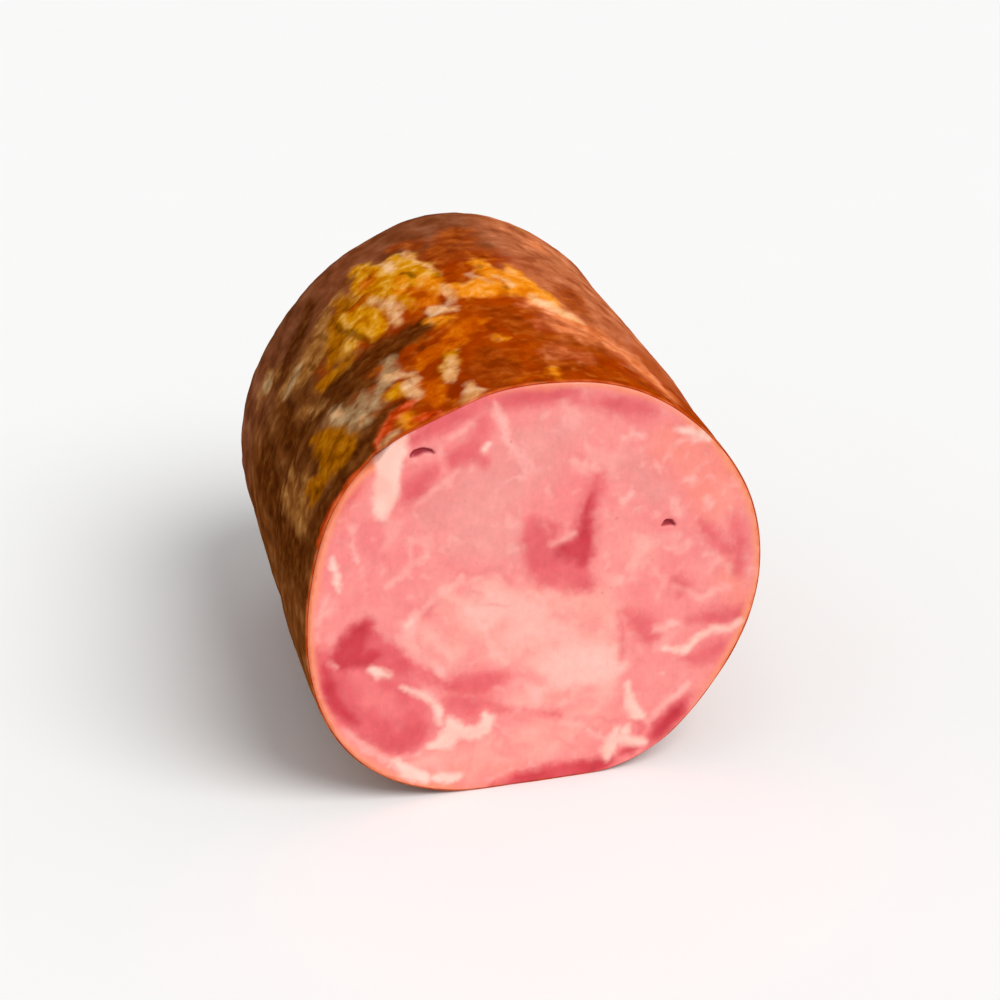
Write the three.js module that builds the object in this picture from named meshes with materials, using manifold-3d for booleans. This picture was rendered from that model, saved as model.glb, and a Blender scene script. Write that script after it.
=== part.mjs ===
// A cured, smoked ham in a close-fitting casing, cut straight across.
// It lies on its side, with the cut face towards -Y and the closed, gathered end towards +Y.
// The casing is a thin skin round the meat, open at the cut. Everything is in millimetres and degrees.
// The origin is on the surface that the ham rests on, under the middle of its bounding box.

import * as THREE from "three";
import { mergeVertices } from "three/addons/utils/BufferGeometryUtils.js";
import Module from "manifold-3d";

// Overall size
const LENGTH = 144; // from the cut face to the far end, without the gathered knot
const MEAN_RADIUS = 57; // of the cut's outline
const AXIS_HEIGHT = 54.9; // less than the radius, so that the underside is pressed flat
const FLAT_BLEND = 0.6; // height over which the flat underside rolls into the round
const DOME_LENGTH = 39; // of the rounded far end
const DOME_POWER = 2.1; // 2 is an ellipse, and more is squarer
const AXIS_X = -0.27; // keeps the bounding box centred on the origin

// The casing and the clearance inside it
const CASING_THICKNESS = 0.9;
const CLEARANCE = 0.3;
const CASING_SETBACK = 0.5; // the casing draws back this far from the cut
const CASING_WAVER = 0.35;

// Lobes of the outline, as [angle, spread, height]. Angles run from +X towards +Z.
const CUT_LOBES = [
  [-138, 24, 5.5], // the muscle that sags out low on the left
  [-100, 16, -2.1],
  [-58, 13, 1.7],
  [-36, 13, -0.6],
  [0, 20, 0.9],
  [30, 20, 0.5],
  [90, 12, -1.1],
  [116, 9, -1.5], // the dip at the upper left of the cut
  [140, 14, 1.3],
];
const FAR_LOBES = [
  [174, 18, -1.7],
  [143, 18, -3.5],
  [112, 18, -1.6],
  [85, 18, 2.4],
  [25, 20, -2.0],
];
const FAR_SWELL = 1.6;
const MID_SWELL = 1.2;
const FAR_SHIFT_X = 0.9;
const FAR_RISE = 1.6;

// Creases that the binding left round the ham: where each runs, as [angle, distance from the cut]
const FRONT_CREASE = {
  route: [
    [-180, 50],
    [-140, 44],
    [-90, 37],
    [-30, 29],
    [20, 24],
    [50, 27],
    [66, 36],
    [85, 47],
    [110, 51],
    [140, 55],
    [180, 50],
  ],
  depth: 1.1,
  spread: 4.5,
};
const REAR_CREASE = {
  route: [
    [-180, 96],
    [-90, 92],
    [0, 94],
    [90, 101],
    [180, 96],
  ],
  depth: 0.6,
  spread: 5,
};

// The nick in the rim at the upper left, and the dent on the far shoulder
const NICK = { angle: 134.5, spread: 2.6, reach: 4, depth: 1.3, setback: 2.4 };
const SHOULDER_DENT = { angle: 108, spread: 5, along: 113, reach: 5, depth: 1.1 };

// Soft lumps of muscle and fat under the casing
const LUMPS = { count: 46, seed: 20, height: 0.55, smallest: 6, largest: 15 };

// The gathered end of the casing
const PLEATS = { count: 13, depth: 1.5, outer: 40, peak: 15 };
const DIMPLE = { depth: 2.4, radius: 11, spread: 4.5 };
const KNOT = { height: 5.5, radius: 5, softness: 1.8 };

// Pores in the cut face, as centre x and z from the cut's middle, half sizes x, y, z, and tilt
const PORES = [
  { name: "slit", x: -28.6, z: 41.6, half: [3.1, 2.6, 1.1], tilt: 8 },
  { name: "pit", x: 33.4, z: 15.4, half: [1.7, 1.8, 1.0], tilt: -6 },
];
const FACE_RELIEF = 0.45; // height of the gentle swells on the cut face

// Mesh density
const AROUND = 72;
const BODY_ROWS = 17;
const DOME_ROWS = 8;
const DOME_ROWS_END = 78; // degrees of the dome's sweep that the even rows cover
const KNOT_ROWS = [0.165, 0.125, 0.095, 0.07, 0.03]; // closing factors of the rows round the knot
const FACE_RINGS = 8;
const PORE_SIDES = 12;

const FULL_TURN = 360;
const SHOULDER = LENGTH - DOME_LENGTH;

const radians = (degrees) => (degrees * Math.PI) / 180;
const clamp01 = (x) => Math.min(Math.max(x, 0), 1);
const smooth = (x) => clamp01(x) ** 2 * (3 - 2 * clamp01(x));
const bell = (x) => Math.exp(-0.5 * x * x);
const turn = (angle) => ((((angle + 180) % FULL_TURN) + FULL_TURN) % FULL_TURN) - 180;

// The far end's middle lies a little below LENGTH, since the dimple round the knot reaches it.
const DIMPLE_AT_AXIS = DIMPLE.depth * bell(DIMPLE.radius / DIMPLE.spread);
const CUT_Y = -(LENGTH - DIMPLE_AT_AXIS + KNOT.height) / 2;

// A repeatable stream of numbers from 0 to 1.
function* seededNumbers(seed) {
  let state = seed;
  while (true) {
    state = (Math.imul(state, 1664525) + 1013904223) >>> 0;
    yield state / 2 ** 32;
  }
}

function scatterLumps() {
  const numbers = seededNumbers(LUMPS.seed);
  const next = () => numbers.next().value;
  return Array.from({ length: LUMPS.count }, () => ({
    angle: FULL_TURN * next(),
    along: (SHOULDER + 0.5 * DOME_LENGTH) * next(),
    size: LUMPS.smallest + (LUMPS.largest - LUMPS.smallest) * next(),
    height: LUMPS.height * (2 * next() - 1),
  }));
}

const lumps = scatterLumps();

function lumpRelief(angle, along) {
  const across = radians(1) * MEAN_RADIUS;
  return lumps.reduce((sum, lump) => {
    const x = (turn(angle - lump.angle) * across) / lump.size;
    const y = (along - lump.along) / lump.size;
    return sum + lump.height * bell(Math.hypot(x, y) * 1.6);
  }, 0);
}

function lobeHeight(lobes, angle) {
  return lobes.reduce((sum, [at, spread, height]) => sum + height * bell(turn(angle - at) / spread), 0);
}

// How far from the cut a crease runs at this angle, eased between the points of its route.
function routeAt(route, angle) {
  const at = turn(angle);
  const next = Math.max(route.findIndex(([a]) => a >= at), 1);
  const [a0, y0] = route[next - 1];
  const [a1, y1] = route[next];
  return y0 + (y1 - y0) * smooth((at - a0) / (a1 - a0));
}

function creaseDepth(crease, angle, along) {
  return crease.depth * bell((along - routeAt(crease.route, angle)) / crease.spread);
}

function dentDepth(angle, along) {
  const nick = NICK.depth * bell(turn(angle - NICK.angle) / NICK.spread) * bell(along / NICK.reach);
  const dent =
    SHOULDER_DENT.depth *
    bell(turn(angle - SHOULDER_DENT.angle) / SHOULDER_DENT.spread) *
    bell((along - SHOULDER_DENT.along) / SHOULDER_DENT.reach);
  return nick + dent;
}

function sectionRadius(angle, along) {
  const share = along / LENGTH;
  const settled = smooth((share - 0.02) / 0.55);
  const swell = MID_SWELL * Math.sin(Math.PI * clamp01(share / 0.8));
  const cutOutline = lobeHeight(CUT_LOBES, angle) * (1 - settled);
  const farOutline = (lobeHeight(FAR_LOBES, angle) + FAR_SWELL) * settled;
  const creases = creaseDepth(FRONT_CREASE, angle, along) + creaseDepth(REAR_CREASE, angle, along);
  const relief = lumpRelief(angle, along) - creases - dentDepth(angle, along);
  return MEAN_RADIUS + swell + cutOutline + farOutline + relief;
}

// How deep the uneven folds are that run out from the knot, at a distance from the axis.
function pleatDepth(angle, fromAxis) {
  const t = radians(angle);
  const phase = PLEATS.count * t + 1.1 * Math.sin(2 * t + 1) + 0.7 * Math.sin(3 * t + 4);
  const fold = (0.5 - 0.5 * Math.cos(phase)) ** 2;
  const reach = smooth((PLEATS.outer - fromAxis) / (PLEATS.outer - PLEATS.peak));
  const room = smooth(fromAxis / PLEATS.peak);
  return PLEATS.depth * fold * reach * room;
}

// The flat underside: what would lie below the floor is pressed up to it, with a soft edge.
function pressFlat(z, floor) {
  const above = z - floor;
  if (above > FLAT_BLEND) return z;
  if (above < -FLAT_BLEND) return floor;
  return floor + (above + FLAT_BLEND) ** 2 / (4 * FLAT_BLEND);
}

// A row of the loft: on the body it has a distance from the cut, and on the dome a sweep angle.
function rowPlaces(withKnot) {
  const body = Array.from({ length: BODY_ROWS }, (_, i) => ({ along: (SHOULDER * i) / BODY_ROWS, sweep: 0 }));
  const dome = Array.from({ length: DOME_ROWS + 1 }, (_, i) => ({
    along: SHOULDER,
    sweep: (DOME_ROWS_END * i) / DOME_ROWS,
  }));
  const knotRows = withKnot ? KNOT_ROWS : KNOT_ROWS.slice(0, 1);
  const knot = knotRows.map((closing) => ({
    along: SHOULDER,
    sweep: (Math.acos(closing ** (DOME_POWER / 2)) * 180) / Math.PI,
  }));
  return [...body, ...dome, ...knot];
}

// A point of the ham's surface, or of one that lies inset inside it.
function surfacePoint(angle, row, inset, setback = 0) {
  const sweep = radians(row.sweep);
  const advance = Math.sin(sweep) ** (2 / DOME_POWER);
  const closing = Math.cos(sweep) ** (2 / DOME_POWER);
  const along = row.along + advance * (DOME_LENGTH - inset) + setback;
  const fromAxis = (sectionRadius(angle, along) - inset) * closing;

  const axisX = FAR_SHIFT_X * smooth(along / LENGTH);
  const axisZ = AXIS_HEIGHT + FAR_RISE * smooth((along / LENGTH - 0.6) / 0.4);
  const fold = row.sweep > 0 ? pleatDepth(angle, fromAxis) : 0;
  const radius = fromAxis - fold * closing;
  const dimple = row.sweep > 0 ? DIMPLE.depth * bell((fromAxis - DIMPLE.radius) / DIMPLE.spread) : 0;
  const y = along - fold * advance - dimple * advance;

  const x = axisX + radius * Math.cos(radians(angle));
  const z = axisZ + radius * Math.sin(radians(angle));
  return new THREE.Vector3(AXIS_X + x, CUT_Y + y, pressFlat(z, inset));
}

const angles = Array.from({ length: AROUND }, (_, i) => (FULL_TURN * i) / AROUND);

// The casing's edge wavers a little, and is torn back at the nick.
function edgeSetback(angle) {
  const t = radians(angle);
  const waver = CASING_WAVER * (Math.sin(5 * t + 0.6) + 0.6 * Math.sin(11 * t + 2));
  return CASING_SETBACK + waver * 0.5 + NICK.setback * bell(turn(angle - NICK.angle) / NICK.spread);
}

// The knot of gathered casing that stands in the dimple.
function raiseKnot(point, inset) {
  const axis = surfaceAxisEnd(inset);
  const fromAxis = Math.hypot(point.x - axis.x, point.z - axis.z);
  point.y += KNOT.height * smooth((KNOT.radius + KNOT.softness - fromAxis) / (2 * KNOT.softness));
  return point;
}

function surfaceAxisEnd(inset) {
  const y = LENGTH - inset - DIMPLE_AT_AXIS;
  return new THREE.Vector3(AXIS_X + FAR_SHIFT_X, CUT_Y + y, AXIS_HEIGHT + FAR_RISE);
}

// Faces between two rings of points. The winding makes them face outwards when the rings run towards +Y.
// Both windings split a quad along the same diagonal, so that nested skins keep their clearance.
function bridge(faces, from, to, inwards = false) {
  for (let i = 0; i < AROUND; i += 1) {
    const j = (i + 1) % AROUND;
    addFace(faces, [from + i, to + i, to + j], inwards);
    addFace(faces, [from + i, to + j, from + j], inwards);
  }
}

function closeWith(faces, ring, tip, inwards = false) {
  for (let i = 0; i < AROUND; i += 1) {
    addFace(faces, [ring + i, tip, ring + ((i + 1) % AROUND)], inwards);
  }
}

function addFace(faces, [a, b, c], inwards) {
  faces.push(inwards ? [a, c, b] : [a, b, c]);
}

// Adds the rings of one lofted skin, closed at the far end, and returns where its first ring starts.
function addSkin(points, faces, { inset, edge, withKnot, inwards }) {
  const rows = rowPlaces(withKnot);
  const start = points.length;
  rows.forEach((row, index) => {
    const easeOff = index === 0 ? 1 : 0;
    angles.forEach((angle) => {
      const point = surfacePoint(angle, row, inset, easeOff * edge(angle));
      points.push(withKnot ? raiseKnot(point, inset) : point);
    });
  });
  for (let r = 0; r + 1 < rows.length; r += 1) {
    bridge(faces, start + r * AROUND, start + (r + 1) * AROUND, inwards);
  }
  const tip = surfaceAxisEnd(inset);
  points.push(withKnot ? raiseKnot(tip, inset) : tip);
  closeWith(faces, start + (rows.length - 1) * AROUND, points.length - 1, inwards);
  return start;
}

function toGeometry(points, faces) {
  const geometry = new THREE.BufferGeometry();
  geometry.setAttribute("position", new THREE.Float32BufferAttribute(points.flatMap((p) => p.toArray()), 3));
  geometry.setIndex(faces.flat());
  return geometry;
}

function casingGeometry() {
  const points = [];
  const faces = [];
  const outer = addSkin(points, faces, { inset: 0, edge: edgeSetback, withKnot: true, inwards: false });
  const inner = addSkin(points, faces, {
    inset: CASING_THICKNESS,
    edge: edgeSetback,
    withKnot: false,
    inwards: true,
  });
  bridge(faces, inner, outer);
  return toGeometry(points, faces);
}

// The cut face isn't dead flat: each muscle stands a little proud of, or below, its neighbours.
function faceSwell(x, z, share) {
  const waves =
    Math.sin(x / 11 + 0.8) * Math.cos(z / 13 - 0.5) + 0.6 * Math.sin(x / 7 - z / 9) + 0.4 * Math.cos(z / 5.5 + x / 16);
  return FACE_RELIEF * 0.5 * (waves + 2) * (1 - share ** 6);
}

function meatGeometry() {
  const inset = CASING_THICKNESS + CLEARANCE;
  const points = [];
  const faces = [];
  const rim = addSkin(points, faces, { inset, edge: () => 0, withKnot: false, inwards: false });
  const centre = new THREE.Vector3(AXIS_X, CUT_Y, AXIS_HEIGHT);
  const rings = [rim];
  for (let k = FACE_RINGS - 1; k > 0; k -= 1) {
    const share = k / FACE_RINGS;
    rings.push(points.length);
    for (let i = 0; i < AROUND; i += 1) {
      const point = centre.clone().lerp(points[rim + i], share);
      point.y += faceSwell(point.x, point.z, share);
      points.push(point);
    }
  }
  for (let r = 0; r + 1 < rings.length; r += 1) bridge(faces, rings[r + 1], rings[r]);
  centre.y += faceSwell(centre.x, centre.z, 0);
  points.push(centre);
  closeWith(faces, rings[rings.length - 1], points.length - 1, true);
  return toGeometry(points, faces);
}

const wasm = await Module();
wasm.setup();

function toSolid(geometry) {
  const bare = geometry.clone();
  bare.deleteAttribute("normal");
  bare.deleteAttribute("uv");
  const merged = mergeVertices(bare, 1e-4);
  const vertProperties = new Float32Array(merged.attributes.position.array);
  const triVerts = new Uint32Array(merged.index.array);
  return new wasm.Manifold(new wasm.Mesh({ numProp: 3, vertProperties, triVerts }));
}

function fromSolid(solid) {
  const mesh = solid.getMesh();
  const geometry = new THREE.BufferGeometry();
  geometry.setAttribute("position", new THREE.Float32BufferAttribute(mesh.vertProperties, 3));
  geometry.setIndex(Array.from(mesh.triVerts));
  return geometry;
}

// An ellipsoid that leaves its lower half as a pore in the cut face.
function poreGeometry({ x, z, half, tilt }) {
  const ball = new THREE.SphereGeometry(1, PORE_SIDES, PORE_SIDES / 2);
  ball.scale(...half);
  ball.rotateY(radians(-tilt));
  ball.translate(AXIS_X + x, CUT_Y + half[1] * 0.3, AXIS_HEIGHT + z);
  return ball;
}

function meatWithPores() {
  const pores = PORES.map((pore) => toSolid(poreGeometry(pore)));
  return fromSolid(pores.reduce((meat, pore) => meat.subtract(pore), toSolid(meatGeometry())));
}

function namedMesh(name, geometry, color, roughness) {
  geometry.computeVertexNormals();
  const mesh = new THREE.Mesh(geometry, new THREE.MeshStandardMaterial({ color, roughness, metalness: 0 }));
  mesh.name = name;
  return mesh;
}

const ham = new THREE.Group();
ham.name = "cased_cured_ham";
ham.add(namedMesh("meat", meatWithPores(), 0xf08585, 0.45));
ham.add(namedMesh("casing", casingGeometry(), 0x9c4a1e, 0.35));

export default ham;
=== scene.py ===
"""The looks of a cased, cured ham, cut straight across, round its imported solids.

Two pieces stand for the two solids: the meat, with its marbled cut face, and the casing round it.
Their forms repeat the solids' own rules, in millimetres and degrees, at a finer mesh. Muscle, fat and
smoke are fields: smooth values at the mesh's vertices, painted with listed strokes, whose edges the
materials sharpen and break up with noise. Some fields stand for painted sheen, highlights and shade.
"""

import itertools
import math
from collections import namedtuple

import bmesh
import bpy
import numpy as np
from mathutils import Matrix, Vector


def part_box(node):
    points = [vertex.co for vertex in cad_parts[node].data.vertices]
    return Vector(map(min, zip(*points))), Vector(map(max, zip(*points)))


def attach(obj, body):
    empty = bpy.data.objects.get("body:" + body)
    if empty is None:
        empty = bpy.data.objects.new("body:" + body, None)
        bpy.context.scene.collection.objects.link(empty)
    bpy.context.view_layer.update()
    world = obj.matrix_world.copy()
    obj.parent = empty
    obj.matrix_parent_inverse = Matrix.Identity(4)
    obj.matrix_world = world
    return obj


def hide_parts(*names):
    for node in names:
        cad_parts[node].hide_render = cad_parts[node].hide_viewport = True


MM = 0.001
FULL_TURN = 360.0

# The ham's form, as the solids have it
LENGTH = 144.0
MEAN_RADIUS = 57.0
AXIS_X = -0.27
AXIS_HEIGHT = 54.9
FLAT_BLEND = 0.6
DOME_LENGTH = 39.0
DOME_POWER = 2.1
SHOULDER = LENGTH - DOME_LENGTH
CUT_LOBES = [
    (-138, 24, 5.5),
    (-100, 16, -2.1),
    (-58, 13, 1.7),
    (-36, 13, -0.6),
    (0, 20, 0.9),
    (30, 20, 0.5),
    (90, 12, -1.1),
    (116, 9, -1.5),
    (140, 14, 1.3),
]
FAR_LOBES = [
    (174, 18, -1.7),
    (143, 18, -3.5),
    (112, 18, -1.6),
    (85, 18, 2.4),
    (25, 20, -2.0),
]
FAR_SWELL = 1.6
MID_SWELL = 1.2
FAR_SHIFT_X = 0.9
FAR_RISE = 1.6
FRONT_CREASE = dict(
    route=[
        *((-180, 50), (-140, 44), (-90, 37), (-30, 29), (20, 24), (50, 27)),
        *((66, 36), (85, 47), (110, 51), (140, 55), (180, 50)),
    ],
    depth=1.1,
    spread=4.5,
)
REAR_CREASE = dict(route=[(-180, 96), (-90, 92), (0, 94), (90, 101), (180, 96)], depth=0.6, spread=5.0)
NICK = dict(angle=134.5, spread=2.6, reach=4.0, depth=1.3, setback=2.4)
SHOULDER_DENT = dict(angle=108, spread=5, along=113, reach=5, depth=1.1)
LUMPS = dict(count=46, seed=20, height=0.55, smallest=6, largest=15)
PLEATS = dict(count=13, depth=1.5, outer=40.0, peak=15.0)
DIMPLE = dict(depth=2.4, radius=11.0, spread=4.5)
KNOT = dict(height=5.5, radius=5.0, softness=1.8)
FACE_RELIEF = 0.45

# What the looks add to the form
SKIN_THICKNESS = 0.9
CUT_THICKNESS = 0.35
TAPER = 4.0
SKIN_GAP = 0.03
SKIN_EDGE = [(0.04, 0.85), (0.0, 0.5), (0.06, 0.12), (0.3, 0.0)]
MEAT_EDGE = [(0.3, 0.03), (0.1, 0.1), (0.0, 0.3)]
SETBACK = 0.35
WAVER = 0.3
EDGE_WIDTH = 2.2
PIT_DEPTH = 1.3
FINE_PLEATS = dict(count=41, depth=0.45, outer=34.0, peak=12.0)
FAT_RISE = 0.28
LEAN_SINK = 0.18
CRACK_SINK = 0.16
WRINKLE_HEIGHT = 0.16
GRAIN_HEIGHT = 0.1

# Mesh density
SKIN_COLUMNS = 400
SKIN_BODY_STEP = 0.8
SKIN_DOME_ROWS = 78
FACE_COLUMNS = 640
FACE_RINGS = 104

# Where the camera stood
CAMERA_AZIMUTH = -14.98
CAMERA_ELEVATION = 25.91
CAMERA_DISTANCE = 621.0
CAMERA_AIM = (0.0, -36.6, 62.3)
LENS = 86.4
SENSOR = 36.0
FARTHEST_SEEN = 50.0

# The floor's width in metres, and the lights
FLOOR_WIDTH = 30.0
SURROUND = 0.5
KEY = dict(azimuth=35, elevation=50, spread=38, strength=2.1)


def bell(x):
    return np.exp(-0.5 * np.square(x))


def smooth(x):
    t = np.clip(x, 0.0, 1.0)
    return t * t * (3.0 - 2.0 * t)


def turn(angle):
    return (np.asarray(angle) + 180.0) % FULL_TURN - 180.0


# Noise

def hashed(cells, seed):
    """A repeatable value from -1 to 1 for each row of whole numbers."""
    primes = np.array([73856093, 19349663, 83492791], np.int64)
    mixed = (cells * primes).sum(axis=-1) + seed * 2654435761
    mixed = mixed.astype(np.uint64) & np.uint64(0xFFFFFFFF)
    for shift, factor in ((15, 2246822519), (13, 3266489917)):
        mixed = ((mixed ^ (mixed >> np.uint64(shift))) * np.uint64(factor)) & np.uint64(0xFFFFFFFF)
    mixed = mixed ^ (mixed >> np.uint64(16))
    return mixed.astype(float) / 2**31 - 1.0


def noise(points, cell, seed):
    """Smooth noise from -1 to 1 at points (n, 3), with features about one cell wide."""
    scaled = points / cell
    base = np.floor(scaled).astype(np.int64)
    t = smooth(scaled - base)
    total = np.zeros(len(points))
    for corner in itertools.product((0, 1), repeat=3):
        weight = np.prod(np.where(np.array(corner) == 1, t, 1.0 - t), axis=1)
        total += weight * hashed(base + corner, seed)
    return total


def layered(points, cell, seed, octaves=3):
    """Noise with finer noise on it."""
    total = np.zeros(len(points))
    for i in range(octaves):
        total += noise(points, cell / 2**i, seed + i) / 2**i
    return total


# The form

def seeded_numbers(seed):
    state = seed
    while True:
        state = (state * 1664525 + 1013904223) % 2**32
        yield state / 2**32


def scatter_lumps():
    numbers = seeded_numbers(LUMPS["seed"])
    lumps = []
    for _ in range(LUMPS["count"]):
        angle = FULL_TURN * next(numbers)
        along = (SHOULDER + 0.5 * DOME_LENGTH) * next(numbers)
        size = LUMPS["smallest"] + (LUMPS["largest"] - LUMPS["smallest"]) * next(numbers)
        height = LUMPS["height"] * (2 * next(numbers) - 1)
        lumps.append((angle, along, size, height))
    return lumps


LUMP_LIST = scatter_lumps()


def lump_relief(angle, along):
    across = math.radians(1) * MEAN_RADIUS
    total = 0.0
    for at, y, size, height in LUMP_LIST:
        distance = np.hypot(turn(angle - at) * across / size, (along - y) / size)
        total = total + height * bell(1.6 * distance)
    return total


def lobe_height(lobes, angle):
    return sum(height * bell(turn(angle - at) / spread) for at, spread, height in lobes)


def route_at(route, angle):
    """How far from the cut a crease runs at an angle, eased between the points of its route."""
    angles, places = np.array(route, float).T
    at = turn(angle)
    after = np.clip(np.searchsorted(angles, at), 1, len(angles) - 1)
    share = (at - angles[after - 1]) / (angles[after] - angles[after - 1])
    return places[after - 1] + (places[after] - places[after - 1]) * smooth(share)


def crease_depth(crease, angle, along):
    return crease["depth"] * bell((along - route_at(crease["route"], angle)) / crease["spread"])


def dent_depth(angle, along):
    nick = NICK["depth"] * bell(turn(angle - NICK["angle"]) / NICK["spread"]) * bell(along / NICK["reach"])
    dent = SHOULDER_DENT["depth"] * bell(turn(angle - SHOULDER_DENT["angle"]) / SHOULDER_DENT["spread"])
    return nick + dent * bell((along - SHOULDER_DENT["along"]) / SHOULDER_DENT["reach"])


def section_radius(angle, along):
    share = along / LENGTH
    settled = smooth((share - 0.02) / 0.55)
    swell = MID_SWELL * np.sin(math.pi * np.clip(share / 0.8, 0, 1))
    outline = lobe_height(CUT_LOBES, angle) * (1 - settled)
    outline = outline + (lobe_height(FAR_LOBES, angle) + FAR_SWELL) * settled
    creases = crease_depth(FRONT_CREASE, angle, along) + crease_depth(REAR_CREASE, angle, along)
    return MEAN_RADIUS + swell + outline + lump_relief(angle, along) - creases - dent_depth(angle, along)


def main_folds(angle):
    """The uneven folds round the knot, from 0 between them to 1 in the middle of each."""
    t = np.radians(angle)
    phase = PLEATS["count"] * t + 1.1 * np.sin(2 * t + 1) + 0.7 * np.sin(3 * t + 4)
    return (0.5 - 0.5 * np.cos(phase)) ** 2


def fine_folds(angle):
    t = np.radians(angle)
    phase = FINE_PLEATS["count"] * t + 2.3 * np.sin(3 * t + 2) + 1.4 * np.sin(5 * t)
    return 0.5 - 0.5 * np.cos(phase)


def fold_depth(pleats, folds, from_axis):
    reach = smooth((pleats["outer"] - from_axis) / (pleats["outer"] - pleats["peak"]))
    return pleats["depth"] * folds * reach * smooth(from_axis / pleats["peak"])


def press_flat(z, floor):
    """What would lie below the floor is pressed up to it, with a soft edge."""
    above = np.clip(z - floor, -FLAT_BLEND, FLAT_BLEND)
    eased = floor + (above + FLAT_BLEND) ** 2 / (4 * FLAT_BLEND)
    return np.where(z - floor > FLAT_BLEND, z, eased)


def axis_end(inset):
    """The middle of the far end, on a surface that lies inset inside the ham's own."""
    y = LENGTH - inset - DIMPLE["depth"] * bell(DIMPLE["radius"] / DIMPLE["spread"])
    return np.array([AXIS_X + FAR_SHIFT_X, CUT_Y + y, AXIS_HEIGHT + FAR_RISE])


def surface(angle, body, sweep, inset, floor, knotted=False):
    """Points of the ham's surface, or of one inset inside it, with how far each is along the ham."""
    in_dome = sweep > 0
    advance = np.sin(np.radians(sweep)) ** (2 / DOME_POWER)
    closing = np.cos(np.radians(sweep)) ** (2 / DOME_POWER)
    along = body + advance * (DOME_LENGTH - inset)
    from_axis = (section_radius(angle, along) - inset) * closing
    fold = np.where(in_dome, fold_depth(PLEATS, main_folds(angle), from_axis), 0.0)
    if knotted:
        fold = fold + np.where(in_dome, fold_depth(FINE_PLEATS, fine_folds(angle), from_axis), 0.0)
    radius = from_axis - fold * closing
    dimple = np.where(in_dome, DIMPLE["depth"] * bell((from_axis - DIMPLE["radius"]) / DIMPLE["spread"]), 0.0)
    y = along - (fold + dimple) * advance
    if knotted:
        edge = (KNOT["radius"] + KNOT["softness"] - radius) / (2 * KNOT["softness"])
        y = y + np.where(in_dome, KNOT["height"] * smooth(edge), 0.0)
    axis_x = FAR_SHIFT_X * smooth(along / LENGTH)
    axis_z = AXIS_HEIGHT + FAR_RISE * smooth((along / LENGTH - 0.6) / 0.4)
    x = AXIS_X + axis_x + radius * np.cos(np.radians(angle))
    z = axis_z + radius * np.sin(np.radians(angle))
    return np.stack([x, CUT_Y + y, press_flat(z, floor)], axis=-1), along


# Meshes

def ring_faces(rows, columns, first=0):
    """Quads between rows of points that are stored one row after another."""
    i = np.arange(columns)
    j = (i + 1) % columns
    start = first + columns * np.arange(rows - 1)[:, None]
    quads = np.stack([start + i, start + columns + i, start + columns + j, start + j], axis=-1)
    return quads.reshape(-1, 4).tolist()


def fan_faces(ring, columns, tip):
    return [(ring + i, tip, ring + (i + 1) % columns) for i in range(columns)]


def make_piece(name, points, faces, fields):
    """A mesh object from points in millimetres, with one float attribute for each field."""
    mesh = bpy.data.meshes.new(name)
    mesh.from_pydata((points * MM).tolist(), [], faces)
    for field, values in fields.items():
        mesh.attributes.new(field, "FLOAT", "POINT").data.foreach_set("value", values.astype(np.float32))
    shape = bmesh.new()
    shape.from_mesh(mesh)
    bmesh.ops.recalc_face_normals(shape, faces=shape.faces)
    shape.to_mesh(mesh)
    shape.free()
    mesh.shade_smooth()
    piece = bpy.data.objects.new(name, mesh)
    bpy.context.scene.collection.objects.link(piece)
    return piece


# Strokes and fields

def stroke_distance(points, stroke):
    """Signed distance from points (n, 2) to the edge of a stroke, a chain of (x, y, width)."""
    chain = np.array(stroke, float)
    if len(chain) == 1:
        chain = np.vstack([chain, chain + (0.01, 0, 0)])
    best = np.full(len(points), np.inf)
    for start, end in zip(chain[:-1], chain[1:]):
        run = (end - start)[:2]
        share = np.clip(((points - start[:2]) @ run) / (run @ run), 0, 1)
        nearest = start[:2] + share[:, None] * run
        half_width = 0.5 * (start[2] + (end[2] - start[2]) * share)
        best = np.minimum(best, np.hypot(*(points - nearest).T) - half_width)
    return best


def painted(points, strokes, soft):
    """A field that is 0.5 on the strokes' edges, and runs from 0 to 1 over soft to each side of them."""
    field = np.zeros(len(points))
    for stroke in strokes:
        distance = stroke_distance(points, stroke)
        field = np.maximum(field, np.clip(0.5 - 0.5 * distance / soft, 0, 1))
    return field


# A paint fades over some mm to each side of its strokes' edges, which are more or less ragged. It covers
# what is below it in part, and has three shades.
Paint = namedtuple("Paint", "fade ragged cover dark middle light")

# The cut face. Strokes are (x, height, width) in mm, from the middle of the cut and above its lowest point.

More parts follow.
